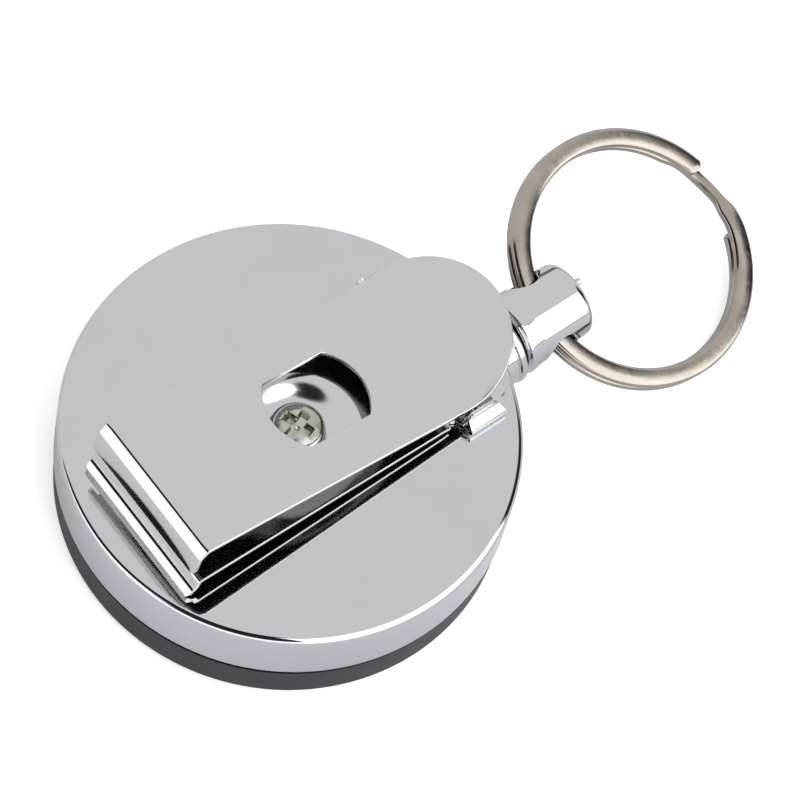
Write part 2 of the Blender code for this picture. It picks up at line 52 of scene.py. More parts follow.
# The part's own sizes, in millimetres
CASE_R = 20.0
CASE_H = 11.3
SEAM_Z = 5.0
CUP_WALL = 0.6
COVER_R = 19.8
SPIGOT_R = 19.2
MECH_Y = -0.6
OUTLET_Y = -1.7
OUTLET_Z = 6.0
NECK_R = 3.85
NECK_BORE_R = 3.1
NECK_END = 22.5
FERRULE_START = 22.8
FERRULE_END = 30.3
FERRULE_R = 3.6
CROSS_HOLE_R = 1.8
CROSS_HOLE_AT = (26.9, -1.6, 6.6)
CORD_R = 0.4
RING_TILT = 18.7
RING_DROOP = 7.4
RING_IN = 10.25
RING_OUT = 12.03
COIL_T = 0.92
COIL_PITCH = 1.0
RING_CENTRE = (37.6, -1.48, 5.2)
RING_END_A = 18.5
RING_END_B = 345.0
SHEET = 0.45
LEVER_HALF = 7.5
LIP_HALF = 7.1
LEVER_BEND_X = 13.1
PAD_R = 7.5
PAD_SLOPE = 0.28
WINDOW_X = 1.6
WINDOW_R = 4.75
WINDOW_HALF = 3.5
BASE_HALF = 7.3
DISH_DEPTH = 0.92
LUG_OUT = 7.15
EAR_T = 0.4
PIN_X = 13.6
PIN_Z = CASE_H + 1.5
PIN_R = 0.4
PIN_HOLE_R = 0.48
HEAD_R = 2.4
HEAD_H = 1.2
SHANK_R = 1.2

# ---------------------------------------------------------------- mesh helpers


def fillet(points, closed=True, turn=9.0):
    """Outline from (a, b) or (a, b, radius) corners, with an arc wherever a radius is given."""
    count = len(points)
    out = []
    for i, corner in enumerate(points):
        here = Vector(corner[:2])
        radius = corner[2] if len(corner) > 2 else 0
        if radius == 0 or (not closed and i in (0, count - 1)):
            out.append(here)
            continue
        back = (Vector(points[i - 1][:2]) - here).normalized()
        ahead = (Vector(points[(i + 1) % count][:2]) - here).normalized()
        half = back.angle(ahead) / 2
        reach = radius / math.tan(half)
        centre = here + (back + ahead).normalized() * radius / math.sin(half)
        first = here + back * reach - centre
        last = here + ahead * reach - centre
        swing = first.angle_signed(last)
        steps = max(2, math.ceil(math.degrees(abs(swing)) / turn))
        for j in range(steps + 1):
            out.append(centre + Matrix.Rotation(-swing * j / steps, 2) @ first)
    return out


def arc(centre, radius, start, end, steps):
    """Points on an arc between two angles in degrees, both ends included."""
    out = []
    for i in range(steps + 1):
        angle = math.radians(start + (end - start) * i / steps)
        out.append((centre[0] + radius * math.cos(angle), centre[1] + radius * math.sin(angle)))
    return out


def ease(value, low, high):
    """Smooth 0 to 1 as value goes from low to high."""
    share = min(max((value - low) / (high - low), 0), 1)
    return share * share * (3 - 2 * share)


def turned(profile, segments):
    """Solid of revolution about Z from a closed loop of (radius, height); radius 0 makes a pole."""
    bm = bmesh.new()
    poles = {}
    columns = []
    for i in range(segments):
        angle = 2 * math.pi * i / segments
        column = []
        for index, (radius, height) in enumerate(profile):
            if radius < 1e-6:
                if index not in poles:
                    poles[index] = bm.verts.new((0, 0, height))
                column.append(poles[index])
            else:
                spot = (radius * math.cos(angle), radius * math.sin(angle), height)
                column.append(bm.verts.new(spot))
        columns.append(column)
    count = len(profile)
    for i in range(segments):
        here = columns[i]
        there = columns[(i + 1) % segments]
        for j in range(count):
            k = (j + 1) % count
            corners = []
            for vert in (here[j], there[j], there[k], here[k]):
                if vert not in corners:
                    corners.append(vert)
            if len(corners) > 2:
                bm.faces.new(corners)
    return bm


def moved(bm, offset=(0, 0, 0), turn=None):
    if turn is not None:
        bmesh.ops.rotate(bm, cent=(0, 0, 0), matrix=turn, verts=bm.verts)
    bmesh.ops.translate(bm, vec=offset, verts=bm.verts)
    return bm


ALONG_X = Matrix.Rotation(math.pi / 2, 3, "Y")
ALONG_Y = Matrix.Rotation(-math.pi / 2, 3, "X")


def rod(radius, low, high, segments=64):
    return turned([(0, low), (radius, low), (radius, high), (0, high)], segments)


def loft(rows, closed=False):
    """Skin over rows of points; the ends are closed with faces unless the rows join up."""
    bm = bmesh.new()
    made = [[bm.verts.new(p) for p in row] for row in rows]
    pairs = list(zip(made, made[1:]))
    if closed:
        pairs.append((made[-1], made[0]))
    count = len(made[0])
    for first, second in pairs:
        for j in range(count):
            k = (j + 1) % count
            bm.faces.new((first[j], first[k], second[k], second[j]))
    if not closed:
        bm.faces.new(made[0])
        bm.faces.new(reversed(made[-1]))
    return bm


def add_object(name, bm, angle=32.0):
    bmesh.ops.scale(bm, vec=(MM, MM, MM), verts=bm.verts)
    bmesh.ops.recalc_face_normals(bm, faces=bm.faces)
    mesh = bpy.data.meshes.new(name)
    bm.to_mesh(mesh)
    bm.free()
    mesh.shade_smooth()
    mesh.set_sharp_from_angle(angle=math.radians(angle))
    obj = bpy.data.objects.new(name, mesh)
    bpy.context.scene.collection.objects.link(obj)
    return obj


def bake(obj, angle=32.0):
    """Apply an object's modifiers to its mesh."""
    graph = bpy.context.evaluated_depsgraph_get()
    mesh = bpy.data.meshes.new_from_object(obj.evaluated_get(graph))
    obj.modifiers.clear()
    obj.data = mesh
    mesh.shade_smooth()
    mesh.set_sharp_from_angle(angle=math.radians(angle))
    return obj


def combine(obj, bm, operation="DIFFERENCE"):
    tool = add_object("tool", bm)
    mod = obj.modifiers.new("cut", "BOOLEAN")
    mod.operation = operation
    mod.object = tool
    mod.solver = "EXACT"
    bake(obj)
    bpy.data.objects.remove(tool)
    return obj


def join(obj, other):
    """Merge another object's mesh into obj as a separate shell."""
    bm = bmesh.new()
    bm.from_mesh(obj.data)
    bm.from_mesh(other.data)
    bm.to_mesh(obj.data)
    bm.free()
    bpy.data.objects.remove(other)


def bevel(obj, width, angle=50.0, segments=2):
    mod = obj.modifiers.new("bevel", "BEVEL")
    mod.width = width * MM
    mod.segments = segments
    mod.limit_method = "ANGLE"
    mod.angle_limit = math.radians(angle)
    mod.harden_normals = False
    return bake(obj)


def place(obj, body, mat, slot, *nodes):
    obj.data.materials.clear()
    obj.data.materials.append(mat)
    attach(obj, body)
    if nodes:
        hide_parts(*nodes)
    return obj


# Bent sheet: a flat plate is cut, edged and then wrapped on a path

def bend_path(corners, turn=6.0):
    """Samples (distance, point, upper normal) along a path of (a, b, radius) corners."""
    line = fillet(corners, closed=False, turn=turn)
    samples = []
    run = 0.0
    for i, point in enumerate(line):
        before = line[max(i - 1, 0)]
        after = line[min(i + 1, len(line) - 1)]
        a = (point - before).normalized() if i else (after - point).normalized()
        b = (after - point).normalized() if i < len(line) - 1 else a
        ahead = (a + b).normalized()
        if i:
            run += (point - line[i - 1]).length
        samples.append((run, point, Vector((-ahead.y, ahead.x))))
    return samples


def on_path(samples, distance, height):
    keys = [s[0] for s in samples]
    i = min(max(bisect.bisect_right(keys, distance) - 1, 0), len(samples) - 2)
    s0, p0, n0 = samples[i]
    s1, p1, n1 = samples[i + 1]
    share = (distance - s0) / max(s1 - s0, 1e-9)
    normal = n0.lerp(n1, min(max(share, 0), 1)).normalized()
    return p0 + (p1 - p0) * share + normal * height


def distance_at(samples, value):
    """Distance along the path where its first coordinate reaches a value."""
    for (s0, p0, _), (s1, p1, _) in zip(samples, samples[1:]):
        if p0.x <= value <= p1.x:
            return s0 + (s1 - s0) * (value - p0.x) / max(p1.x - p0.x, 1e-9)
    return samples[-1][0]


def flat_plate(outline, holes, thickness, rim, dish=None):
    """Plate with rounded rims, upper face at height 0; dish is (centre, radii and depths, segments)."""
    bm = bmesh.new()
    edges = []
    rings = [outline] + holes
    if dish:
        centre, steps, segments = dish
        rings.append(arc(centre, steps[0][0], 0, 360, segments)[:-1])
    made = []
    for ring in rings:
        verts = [bm.verts.new((a, b, 0)) for a, b in ring]
        made.append(verts)
        for i, vert in enumerate(verts):
            edges.append(bm.edges.new((vert, verts[(i + 1) % len(verts)])))
    bmesh.ops.triangle_fill(bm, use_beauty=True, use_dissolve=False, edges=edges)
    if dish:
        outer = made[-1]
        for radius, depth in steps[1:]:
            circle = arc(centre, radius, 0, 360, segments)[:-1]
            inner = [bm.verts.new((a, b, -depth)) for a, b in circle]
            for i in range(segments):
                j = (i + 1) % segments
                bm.faces.new((outer[i], outer[j], inner[j], inner[i]))
            outer = inner
    grown = bmesh.ops.extrude_face_region(bm, geom=bm.faces[:])
    copies = [item for item in grown["geom"] if isinstance(item, bmesh.types.BMVert)]
    bmesh.ops.translate(bm, vec=(0, 0, -thickness), verts=copies)
    bmesh.ops.recalc_face_normals(bm, faces=bm.faces)
    sharp = [e for e in bm.edges if len(e.link_faces) == 2 and e.calc_face_angle() > 1.2]
    bmesh.ops.bevel(bm, geom=sharp, offset=rim, segments=3, profile=0.5, affect="EDGES",
                    clamp_overlap=True)
    return bm


def wrap(bm, samples, to_space, extra=()):
    """Wrap a flat plate on a path; to_space puts (along, across, up) in the part's frame."""
    cuts = [s[0] for s in samples[1:-1]] + list(extra)
    for cut in cuts:
        bmesh.ops.bisect_plane(bm, geom=bm.verts[:] + bm.edges[:] + bm.faces[:], dist=1e-5,
                               plane_co=(cut, 0, 0), plane_no=(1, 0, 0))
    for vert in bm.verts:
        spot = on_path(samples, vert.co.x, vert.co.z)
        vert.co = to_space(spot.x, vert.co.y, spot.y)
    return bm


# ---------------------------------------------------------------- materials

class Nodes:
    """Short calls for building a node tree."""

    def __init__(self, tree):
        self.tree = tree
        tree.nodes.clear()

    def add(self, kind, settings=(), **inputs):
        node = self.tree.nodes.new(kind)
        for key, value in dict(settings).items():
            setattr(node, key, value)
        for key, value in inputs.items():
            self.feed(node, key.replace("_", " "), value)
        return node

    def feed(self, node, key, value):
        socket = node.inputs[int(key)] if key.isdigit() else node.inputs[key]
        if isinstance(value, bpy.types.NodeSocket):
            self.tree.links.new(value, socket)
        else:
            socket.default_value = value

    def math(self, operation, a, b=0.0, clamp=False):
        node = self.add("ShaderNodeMath", {"operation": operation, "use_clamp": clamp})
        self.feed(node, "0", a)
        self.feed(node, "1", b)
        return node.outputs[0]

    def step(self, value, low, high):
        """Smooth 0 to 1 as value goes from low to high, or 1 to 0 if low is above high."""
        a, b, start, end = (low, high, 0.0, 1.0) if low < high else (high, low, 1.0, 0.0)
        node = self.add("ShaderNodeMapRange", {"interpolation_type": "SMOOTHSTEP"})
        feeds = {"Value": value, "From Min": a, "From Max": b, "To Min": start, "To Max": end}
        for key, item in feeds.items():
            self.feed(node, key, item)
        return node.outputs["Result"]

    def mix(self, share, a, b):
        node = self.add("ShaderNodeMix", {"data_type": "RGBA"})
        for key, item in ((0, share), (6, a), (7, b)):
            if isinstance(item, bpy.types.NodeSocket):
                self.tree.links.new(item, node.inputs[key])
            else:
                node.inputs[key].default_value = item
        return node.outputs[2]

    def noise(self, vector, scale, detail=3.0, roughness=0.5):
        node = self.add("ShaderNodeTexNoise", Scale=scale, Detail=detail, Roughness=roughness)
        self.tree.links.new(vector, node.inputs["Vector"])
        return node.outputs["Fac"]


def surface(name, colour, metallic, rough, vary=0.05, rough_vary=0.04, bump=0.02, grain=900.0, patch=160.0,
            stretch=(1, 1, 1), dark=None, specular=0.5, coat=0.0):
    """Principled material whose colour, roughness and bump all come from procedural noise."""
    mat = bpy.data.materials.new(name)
    mat.use_nodes = True
    n = Nodes(mat.node_tree)
    out = n.add("ShaderNodeOutputMaterial")
    shader = n.add("ShaderNodeBsdfPrincipled", Metallic=metallic)
    shader.inputs["Specular IOR Level"].default_value = specular
    shader.inputs["Coat Weight"].default_value = coat
    coords = n.add("ShaderNodeTexCoord").outputs["Object"]
    scaled = n.add("ShaderNodeMapping", Scale=stretch)
    n.feed(scaled, "Vector", coords)
    space = scaled.outputs["Vector"]
    patches = n.noise(space, patch, 4.0, 0.6)
    fine = n.noise(space, grain, 5.0, 0.65)
    shade = n.step(patches, 0.3, 0.7)
    low = tuple(c * (1 - vary) for c in colour) + (1.0,)
    high = tuple(min(c * (1 + vary), 1.0) for c in colour) + (1.0,)
    tint = n.mix(shade, low, high)
    if dark:
        # grime and worn spots, sparse and soft
        spots = n.step(n.noise(space, patch * 3.1, 6.0, 0.7), dark[1], dark[1] + 0.12)
        tint = n.mix(n.math("MULTIPLY", spots, dark[2]), tint, tuple(dark[0]) + (1.0,))
    n.tree.links.new(tint, shader.inputs["Base Color"])
    level = n.math("MULTIPLY", n.math("SUBTRACT", fine, 0.5), 2 * rough_vary)
    smudge = n.math("MULTIPLY", shade, rough_vary)
    total = n.math("ADD", n.math("ADD", level, smudge), rough, clamp=True)
    n.tree.links.new(total, shader.inputs["Roughness"])
    relief = n.add("ShaderNodeBump", Strength=bump, Distance=0.0001)
    n.tree.links.new(fine, relief.inputs["Height"])
    n.tree.links.new(relief.outputs["Normal"], shader.inputs["Normal"])
    n.tree.links.new(shader.outputs[0], out.inputs["Surface"])
    return mat


CUP_CHROME = surface("cup_chrome", (0.535, 0.55, 0.56), 1.0, 0.035, 0.02, 0.02, 0.01, 1500, 130)
BRIGHT_CHROME = surface("bright_chrome", (0.54, 0.55, 0.56), 1.0, 0.03, 0.02, 0.02, 0.01, 1500, 260)
CLIP_CHROME = surface("clip_chrome", (0.545, 0.557, 0.557), 1.0, 0.08, 0.02, 0.02, 0.012, 1300, 150,
                      (1, 0.35, 1))
RING_NICKEL = surface("ring_nickel", (0.37, 0.333, 0.288), 1.0, 0.11, 0.07, 0.06, 0.06, 1600, 320,
                      dark=((0.20, 0.17, 0.14), 0.62, 0.5))
SCREW_ZINC = surface("screw_zinc", (0.44, 0.45, 0.385), 1.0, 0.16, 0.12, 0.08, 0.10, 2600, 700,
                     dark=((0.16, 0.16, 0.12), 0.60, 0.5))
PLAIN_STEEL = surface("plain_steel", (0.56, 0.56, 0.55), 1.0, 0.24, 0.06, 0.08, 0.08, 2200, 400)
SPRING_STEEL = surface("spring_steel", (0.20, 0.21, 0.235), 1.0, 0.24, 0.10, 0.08, 0.05, 1800, 400,
                       dark=((0.10, 0.085, 0.07), 0.60, 0.5))
BRASS = surface("crimp_brass", (0.72, 0.54, 0.27), 1.0, 0.26, 0.08, 0.08, 0.08, 2200, 500)
COVER_PLASTIC = surface("cover_plastic", (0.0165, 0.017, 0.018), 0.0, 0.42, 0.10, 0.07, 0.12, 3200, 220,
                        specular=0.28)
BLACK_NYLON = surface("black_nylon", (0.022, 0.022, 0.024), 0.0, 0.48, 0.12, 0.07, 0.15, 2600, 300)
WHITE_NYLON = surface("white_nylon", (0.74, 0.73, 0.67), 0.0, 0.48, 0.05, 0.06, 0.10, 2400, 300)
DRUM_PLASTIC = surface("drum_plastic", (0.66, 0.66, 0.63), 0.0, 0.42, 0.05, 0.06, 0.10, 2400, 240)


def cord_material():
    """Black braided nylon: crossing strands from two diagonal waves, with a little fuzz."""
    mat = surface("cord_nylon", (0.030, 0.030, 0.033), 0.0, 0.6, 0.2, 0.1, 0.2, 5200, 900)
    n = Nodes.__new__(Nodes)
    n.tree = mat.node_tree
    shader = next(x for x in n.tree.nodes if x.type == "BSDF_PRINCIPLED")
    coords = n.add("ShaderNodeTexCoord").outputs["UV"]
    waves = []
    for turn in (45, -45):
        spun = n.add("ShaderNodeMapping", Rotation=(0, 0, math.radians(turn)))
        n.feed(spun, "Vector", coords)
        wave = n.add("ShaderNodeTexWave", {"wave_profile": "SIN"}, Scale=1.0, Distortion=0.4)
        n.tree.links.new(spun.outputs["Vector"], wave.inputs["Vector"])
        waves.append(wave.outputs["Fac"])
    weave = n.math("MAXIMUM", waves[0], waves[1])
    relief = n.add("ShaderNodeBump", Strength=0.5, Distance=0.00006)
    n.tree.links.new(weave, relief.inputs["Height"])
    n.tree.links.new(relief.outputs["Normal"], shader.inputs["Normal"])
    tint = n.mix(weave, (0.012, 0.012, 0.014, 1), (0.055, 0.055, 0.06, 1))
    n.tree.links.new(tint, shader.inputs["Base Color"])
    shader.inputs["Sheen Weight"].default_value = 0.3
    return mat


CORD = cord_material()

# ---------------------------------------------------------------- case


def outlet_rod(radius):
    return moved(rod(radius, 14.5, 24.0, 96), (0, OUTLET_Y, OUTLET_Z), ALONG_X)


def make_cover():
    profile = [(0, 0), (14.65, 0, 0.08), (14.85, 0.3, 0.12), (15.15, 0.3, 0.12), (15.35, 0, 0.08)]
    profile += [(COVER_R, 0, 0.9), (COVER_R, 4.38, 0.05), (COVER_R - 0.3, 4.05), (COVER_R - 0.3, 4.9)]
    profile += [(SPIGOT_R, 4.9), (SPIGOT_R, 6.4, 0.2), (18.3, 6.4, 0.2), (18.3, 4.0), (18.2, 3.4)]
    profile += [(18.2, 1.3, 0.3), (0, 1.3)]
    cover = add_object("cover_shell", turned(fillet(profile), 256))
    combine(cover, outlet_rod(NECK_R + 0.1))
    place(cover, "case", COVER_PLASTIC, "cover_plastic", "front_cover")


def make_cup():
    skirt = SEAM_Z + 0.1
    profile = [(0, CASE_H), (19.0, CASE_H), (CASE_R, CASE_H, 0.65)]
    profile += [(CASE_R, skirt + 0.3), (CASE_R, skirt, 0.1)]
    inner_r = CASE_R - CUP_WALL
    inner_h = CASE_H - CUP_WALL
    profile += [(inner_r, skirt, 0.1), (inner_r, inner_h, 0.3), (0, inner_h)]
    cup = add_object("cup_shell", turned(fillet(profile, turn=6.0), 320))
    combine(cup, outlet_rod(NECK_R + 0.1))
    combine(cup, moved(rod(1.45, 9, 12.5, 48), (0, MECH_Y, 0)))
    place(cup, "case", CUP_CHROME, "cup_chrome", "back_cup")


def make_neck():
    bore = NECK_BORE_R
    profile = [(bore, 16.3), (4.4, 16.3, 0.1), (4.4, 16.9, 0.1), (NECK_R, 16.9), (NECK_R, 21.45, 0.2)]
    profile += [(NECK_R - 0.14, 21.6, 0.08), (NECK_R + 0.12, 21.8, 0.15), (NECK_R + 0.12, 22.28, 0.2)]
    profile += [(NECK_R - 0.2, NECK_END, 0.12), (bore, NECK_END, 0.15)]
    tube_body = moved(turned(fillet(profile), 160), (0, OUTLET_Y, OUTLET_Z), ALONG_X)
    neck = add_object("neck_shell", tube_body)
    place(neck, "case", BRIGHT_CHROME, "bright_chrome", "outlet_neck")


# ---------------------------------------------------------------- cord, ferrule and ring

def hole_direction():
    tilt = math.radians(RING_TILT)
    return Vector((0, math.cos(tilt), math.sin(tilt)))


def make_ferrule():
    end = FERRULE_END
    start = FERRULE_START
    profile = [(0.6, start, 0.1), (3.35, start, 0.2), (3.82, start + 0.42, 0.3), (3.72, start + 1.1, 0.5)]
    profile += [(FERRULE_R, start + 1.9, 2.0), (FERRULE_R, end, 0.8), (0, end), (0, end - 0.8)]
    cavity_r = 2.4
    profile += [(cavity_r, end - 0.8, 0.2), (cavity_r, 24.0, 0.2), (0.6, 24.0)]
    bell = moved(turned(fillet(profile), 192), (0, OUTLET_Y, OUTLET_Z), ALONG_X)
    ferrule = add_object("ferrule_shell", bell)
    turn = hole_direction().to_track_quat("Z", "Y").to_matrix()
    combine(ferrule, moved(rod(CROSS_HOLE_R, -6, 6, 64), CROSS_HOLE_AT, turn))
    nub = turned(fillet([(0, end - 0.3), (0.34, end - 0.3), (0.34, end + 0.7, 0.12), (0, end + 0.7)]), 32)
    combine(ferrule, moved(nub, (0, OUTLET_Y + 0.1, OUTLET_Z + 2.15), ALONG_X), "UNION")
    place(ferrule, "ferrule", BRIGHT_CHROME, "bright_chrome", "ferrule")


def make_ring():
    tilt = Matrix.Rotation(math.radians(RING_TILT), 3, "X")
    frame_turn = tilt @ Matrix.Rotation(math.radians(RING_DROOP), 3, "Y")
    sweep = 360 + RING_END_B - RING_END_A
    half_w = (RING_OUT - RING_IN) / 2
    half_t = COIL_T / 2
    corners = [(-half_w, -half_t, 0.4), (half_w, -half_t, 0.45)]
    corners += [(half_w, half_t, 0.45), (-half_w, half_t, 0.4)]
    section = fillet(corners, turn=15)
    middle = (RING_OUT + RING_IN) / 2
    steps = 420
    rows = []
    for i in range(steps + 1):
        angle = RING_END_A + sweep * i / steps
        share = ease(angle, RING_END_B, 360 + RING_END_A)
        layer = COIL_PITCH * (0.5 - share)
        # the cut ends are nipped to a blunt wedge
        edge = min(i, steps - i) * sweep / steps
        nip = 1 - 0.35 * max(0.0, 1 - edge / 1.6) ** 2
        # the crossing between the coils is pressed narrower
        cross = angle - RING_END_B
        slim = nip * (1 - 0.34 * ease(cross, 9, 17) * (1 - ease(cross, 40, 52)))
        way = Vector((math.cos(math.radians(angle)), math.sin(math.radians(angle)), 0))
        row = []
        for out, up in section:
            spot = way * (middle + out * slim) + Vector((0, 0, layer + up * nip))
            row.append(frame_turn @ spot + Vector(RING_CENTRE))
        rows.append(row)
    ring = add_object("ring_coils", loft(rows), 45)
    place(ring, "ring", RING_NICKEL, "ring_nickel", "split_ring")


def tube(points, radius, sides, pitch=0.8):
    """Round cord along points, with UVs that repeat once per pitch for the braid."""
    rows = []
    for i, point in enumerate(points):
        ahead = (points[min(i + 1, len(points) - 1)] - points[max(i - 1, 0)]).normalized()
        side = ahead.cross(Vector((0, 0, 1))).normalized()
        up = side.cross(ahead)
        row = []
        for j in range(sides):
            angle = 2 * math.pi * j / sides
            row.append(point + side * radius * math.cos(angle) + up * radius * math.sin(angle))
        rows.append(row)
    bm = loft(rows)
    layer = bm.loops.layers.uv.new("braid")
    bm.verts.index_update()
    run = [0.0]
    for a, b in zip(points, points[1:]):
        run.append(run[-1] + (b - a).length)
    for face in bm.faces:
        wraps = {loop.vert.index % sides for loop in face.loops}
        seam = 0 in wraps and sides - 1 in wraps
        for loop in face.loops:
            row, column = divmod(loop.vert.index, sides)
            if seam and column == 0:
                column = sides
            loop[layer].uv = (run[row] / pitch, 2 * column / sides)
    return bm


def smooth_route(points, steps):
    vectors = [Vector(p) for p in points]
    padded = [vectors[0] * 2 - vectors[1]] + vectors + [vectors[-1] * 2 - vectors[-2]]
    route = []
    for a, b, c, d in zip(padded, padded[1:], padded[2:], padded[3:]):
        for i in range(steps):
            t = i / steps
            route.append(0.5 * (2 * b + (c - a) * t + (2 * a - 5 * b + 4 * c - d) * t * t
                                + (3 * b - a - 3 * c + d) * t ** 3))
    route.append(vectors[-1])
    return route


def make_cord():
    leave = math.radians(-40)
    start = 13.2 + 0.5
    first = (start * math.cos(leave), MECH_Y + start * math.sin(leave), OUTLET_Z)
    route = [first, (13.2, -5.9, OUTLET_Z), (15.8, -3.0, OUTLET_Z), (17.4, -1.95, OUTLET_Z),
             (19.0, OUTLET_Y, OUTLET_Z), (22.2, OUTLET_Y, OUTLET_Z)]
    points = smooth_route(route, 10)
    points += [Vector((22.2 + 1.8 * i / 12, OUTLET_Y, OUTLET_Z)) for i in range(1, 13)]
    cord = add_object("cord_run", tube(points, CORD_R, 20))
    cord.data.materials.append(CORD)
    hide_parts("cord_lead", "cord_end")
    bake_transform(cord)
    # wound turns on the drum, in layers
    points = []
    per_turn = 48
    layers = [(11.87, -0.9, 0.9), (12.62, 0.9, -0.9)]
    for radius, low, high in layers:
        count = int(2.3 * per_turn)
        for i in range(count + 1):
            angle = 2 * math.pi * i / per_turn
            height = low + (high - low) * i / count
            points.append(Vector((radius * math.cos(angle), radius * math.sin(angle), height)))
    winding = add_object("cord_turns", moved(tube(points, CORD_R, 14), (0, MECH_Y, OUTLET_Z)))
    place(winding, "drum", CORD, "cord_nylon", "cord_winding")


# ---------------------------------------------------------------- clip

def leaf_space(x, y, z):
    return Vector((x, y + MECH_Y, z))


def mirrored(outline):
    """Closed outline from its +Y half, listed from low to high along the leaf."""
    return outline + [(a, -b) for a, b in reversed(outline)]


def make_lever():
    back = CASE_H
    bend = (LEVER_BEND_X, back + 2.85, 3.0)
    pad_x = bend[0] + 0.4 + PAD_R
    corners = [(-16.55, back + 4.05), (-16.15, back + 6.45, 0.6), (-15.25, back + 7.42, 0.55), bend]
    corners.append((pad_x + 0.2, bend[1] + PAD_SLOPE * (pad_x + 0.2 - bend[0])))
    samples = bend_path(corners)
    round_at = distance_at(samples, bend[0] + 0.4)
    half = [(0.0, LIP_HALF - 0.5), (0.06, LIP_HALF - 0.25), (0.25, LIP_HALF - 0.06)]
    half += [(0.5, LIP_HALF), (round_at, LEVER_HALF)]
    for t in range(3, 90, 3):
        turn = math.radians(t)
        half.append((round_at + PAD_R * math.sin(turn), PAD_R * math.cos(turn)))
    window_at = (distance_at(samples, WINDOW_X), 0)
    reach = math.degrees(math.asin(WINDOW_HALF / WINDOW_R))
    window = arc(window_at, WINDOW_R, -reach, reach, 24)
    window += arc(window_at, WINDOW_R, 180 - reach, 180 + reach, 24)
    bm = flat_plate(mirrored(half), [window], SHEET, 0.13)
    lever = add_object("clip_leaf_upper", wrap(bm, samples, leaf_space), 40)
    for side in (1, -1):
        outline = [(PIN_X + 1.2, back + 2.75), (PIN_X - 1.2, back + 2.7)]
        outline += arc((PIN_X, PIN_Z), 0.85, 190, 350, 20)
        lug = flat_plate(outline, [arc((PIN_X, PIN_Z), PIN_HOLE_R, 0, 360, 32)[:-1]], EAR_T, 0.05)
        for vert in lug.verts:
            vert.co = Vector((vert.co.x, MECH_Y + side * (LUG_OUT + vert.co.z), vert.co.y))
        join(lever, add_object("lug", lug, 40))
    place(lever, "lever", CLIP_CHROME, "clip_chrome", "clip_lever")


def make_base():
    back = CASE_H
    corners = [(-17.05, back + 0.45), (-16.45, back + 1.08, 0.08), (-16.2, back + 1.24, 0.15)]
    corners += [(-15.8, back + 2.3, 0.6), (10.5, back + 0.95, 0.5)]
    corners += [(11.8, back + 0.55, 0.5), (17.6, back + 0.55)]
    samples = bend_path(corners)

    def at(x):
        return distance_at(samples, x)

    half = [(0.0, BASE_HALF - 0.4), (0.1, BASE_HALF - 0.15), (0.4, BASE_HALF), (at(11.05), BASE_HALF)]
    # a small round notch lets the leaf bend beside each ear
    for t in range(180, 20, -20):
        turn = math.radians(t)
        half.append((at(11.5) + 0.42 * math.cos(turn), 7.2 - 0.42 * math.sin(turn)))
    half += [(at(12.15), 7.7), (at(16.5), 7.7), (at(16.7), 7.1), (at(17.3), 7.0), (at(17.6), 6.7)]
    centre = (at(0.0), 0.0)
    steps = []
    for i in range(13):
        share = i / 12
        steps.append((5.6 - 3.8 * share, DISH_DEPTH * ease(share, 0, 1)))
    steps.append((1.5, DISH_DEPTH))
    bm = flat_plate(mirrored(half), [], SHEET, 0.1, (centre, steps, 96))
    base = add_object("clip_leaf_lower", wrap(bm, samples, leaf_space), 40)
    ears = [(1, [(7.35, 0.53), (7.65, 0.53, 0.2), (7.65, 2.4)])]
    ears.append((-1, [(7.5, 0.5), (8.7, 0.47, 0.22), (7.62, 1.68, 0.5), (7.6, 2.4)]))
    for side, bends in ears:
        ear = bend_path([(corner[0], back + corner[1]) + corner[2:] for corner in bends])
        top = ear[-1][0]
        outline = [(0, 12.1), (top - 0.5, 12.3), (top, 12.7)]
        outline += [(top, 15.0), (top - 0.5, 15.4), (0, 16.5)]
        plate = flat_plate(outline, [], EAR_T, 0.06)
        wrap(plate, ear, lambda u, x, z: Vector((x, MECH_Y + side * u, z)))
        join(base, add_object("ear", plate, 40))
    place(base, "case", CLIP_CHROME, "clip_chrome", "clip_base")


def make_pin():
    reach = 7.97
    profile = [(0, -reach), (PIN_R, -reach, 0.06), (PIN_R, reach, 0.06), (0, reach)]
    pin = add_object("clip_pivot", moved(turned(fillet(profile), 48), (PIN_X, MECH_Y, PIN_Z), ALONG_Y))
    place(pin, "case", BRIGHT_CHROME, "bright_chrome", "clip_pin")


def make_clip_spring():
    back = CASE_H
    corners = [(18.6, back + 3.75), (14.6, back + 2.28, 1.0), (12.3, back + 2.28, 0.75)]
    corners += [(12.3, back + 0.62, 0.75), (18.2, back + 0.62)]
    samples = bend_path(corners)
    end = samples[-1][0]
    outline = fillet([(0, -2.5, 0.5), (end, -2.5, 0.5), (end, 2.5, 0.5), (0, 2.5, 0.5)])
    strip = 0.2
    bm = flat_plate([tuple(p) for p in outline], [], strip, 0.03)
    # the path is the strip's under face
    for vert in bm.verts:
        vert.co.z += strip
    spring = add_object("clip_u_spring", wrap(bm, samples, leaf_space), 40)
    spring.data.materials.append(SPRING_STEEL)
    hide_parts("clip_spring")
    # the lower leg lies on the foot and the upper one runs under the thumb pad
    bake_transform(spring)


